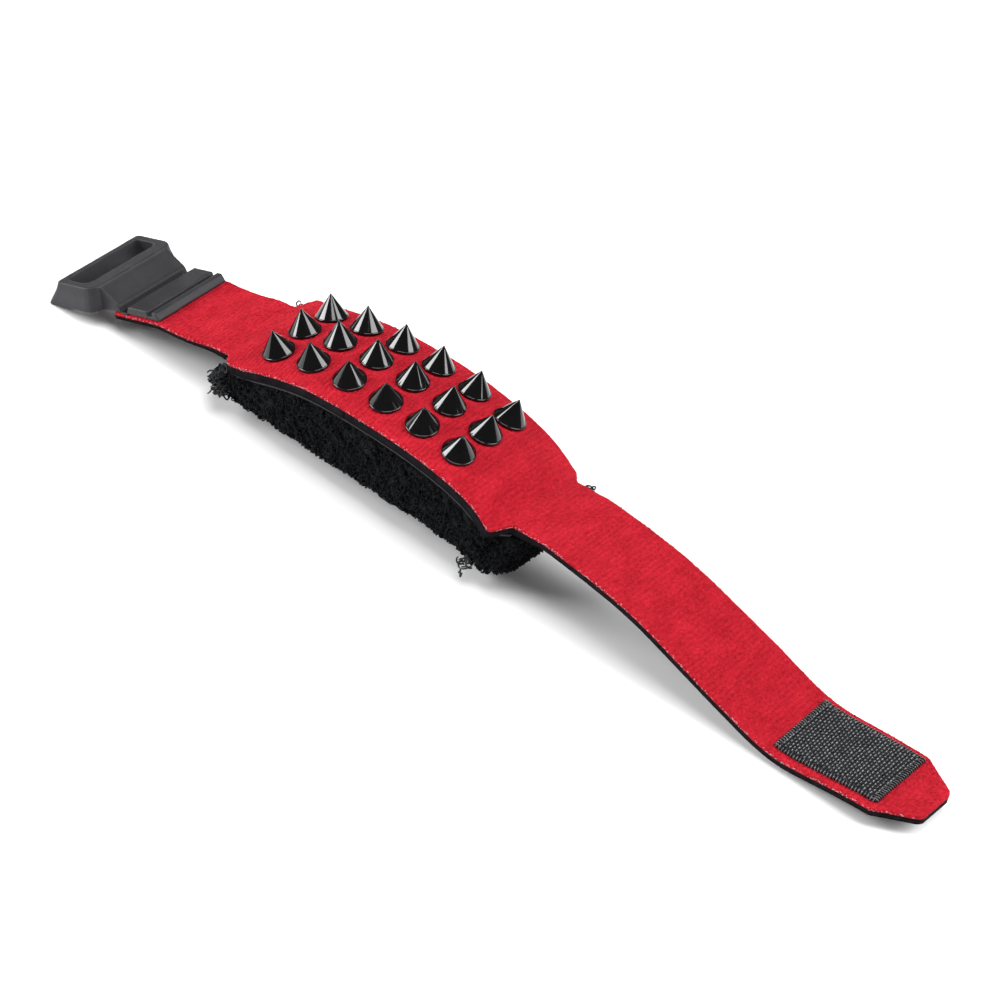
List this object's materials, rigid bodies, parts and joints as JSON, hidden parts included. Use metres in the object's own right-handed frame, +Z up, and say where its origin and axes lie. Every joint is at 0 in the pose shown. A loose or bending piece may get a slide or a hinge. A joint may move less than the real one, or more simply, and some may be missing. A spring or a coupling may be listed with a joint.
{
  "type": "studded wrist strap",
  "caption": "Padded wrist strap: red looped strap with black cone studs over a pile pad, a slot buckle at one end and a hook patch on the tapered tail.",
  "frame": {"origin": "centre of the bounding box in X and Y, on the surface the strap lies on", "axes": "+X along the strap from the buckle to the tapered tail, +Z up through the studded face, +Y across the strap"},
  "size_m": [0.252, 0.0364, 0.0349],
  "materials": {
    "loop_face": "red brushed loop fabric with fine cross ribs",
    "foam": "matte cut edge of closed-cell foam",
    "lining": "fine black jersey",
    "pile": "black looped terry pile",
    "wadding": "soft fibre wadding",
    "stud": "high-gloss black",
    "screw": "plain steel",
    "buckle": "satin charcoal moulded plastic",
    "hook_tape": "woven black hook tape with glinting nylon hooks",
    "thread": "black sewing thread"
  },
  "bodies": {
    "centre": {"centre_loop_face": "loop_face", "centre_foam": "foam", "centre_lining": "lining", "pad_backing": "lining", "pad_pile_cover": "pile", "pad_core": "wadding", "stud_front_1": "stud", "stud_front_2": "stud", "stud_front_3": "stud", "stud_front_4": "stud", "stud_front_5": "stud", "stud_front_6": "stud", "stud_middle_1": "stud", "stud_middle_2": "stud", "stud_middle_3": "stud", "stud_middle_4": "stud", "stud_middle_5": "stud", "stud_middle_6": "stud", "stud_back_1": "stud", "stud_back_2": "stud", "stud_back_3": "stud", "stud_back_4": "stud", "stud_back_5": "stud", "stud_back_6": "stud", "screw_front_1": "screw", "screw_front_2": "screw", "screw_front_3": "screw", "screw_front_4": "screw", "screw_front_5": "screw", "screw_front_6": "screw", "screw_middle_1": "screw", "screw_middle_2": "screw", "screw_middle_3": "screw", "screw_middle_4": "screw", "screw_middle_5": "screw", "screw_middle_6": "screw", "screw_back_1": "screw", "screw_back_2": "screw", "screw_back_3": "screw", "screw_back_4": "screw", "screw_back_5": "screw", "screw_back_6": "screw"},
    "buckle_end": {"buckle_end_loop_face": "loop_face", "buckle_end_foam": "foam", "buckle_end_lining": "lining", "buckle": "buckle", "buckle_seam_thread": "thread"},
    "tail_root": {"tail_root_loop_face": "loop_face", "tail_root_foam": "foam", "tail_root_lining": "lining"},
    "tail_mid": {"tail_mid_loop_face": "loop_face", "tail_mid_foam": "foam", "tail_mid_lining": "lining"},
    "tail_tip": {"tail_tip_loop_face": "loop_face", "tail_tip_foam": "foam", "tail_tip_lining": "lining", "hook_patch": "hook_tape", "patch_stitches": "thread"}
  },
  "joints": [
    {"name": "buckle_fold", "type": "hinge", "parent": "centre", "child": "buckle_end", "pos_m": [-0.07945, 0.00111, 0.01294], "axis": [0.0142, -0.9991, -0.0397], "range_deg": [-30, 60], "stiffness_Nm_per_rad": 0.03},
    {"name": "tail_root_fold", "type": "hinge", "parent": "centre", "child": "tail_root", "pos_m": [0.0189, -0.001, 0.01934], "axis": [-0.0056, 0.9985, -0.0537], "range_deg": [-30, 60], "stiffness_Nm_per_rad": 0.03},
    {"name": "tail_mid_fold", "type": "hinge", "parent": "tail_root", "child": "tail_mid", "pos_m": [0.04506, -0.00076, 0.01634], "axis": [-0.0058, 0.9996, -0.0293], "range_deg": [-45, 60], "stiffness_Nm_per_rad": 0.03},
    {"name": "tail_tip_fold", "type": "hinge", "parent": "tail_mid", "child": "tail_tip", "pos_m": [0.07057, -0.00018, 0.0083], "axis": [0.0051, 0.9999, 0.0146], "range_deg": [-45, 60], "stiffness_Nm_per_rad": 0.03}
  ]
}
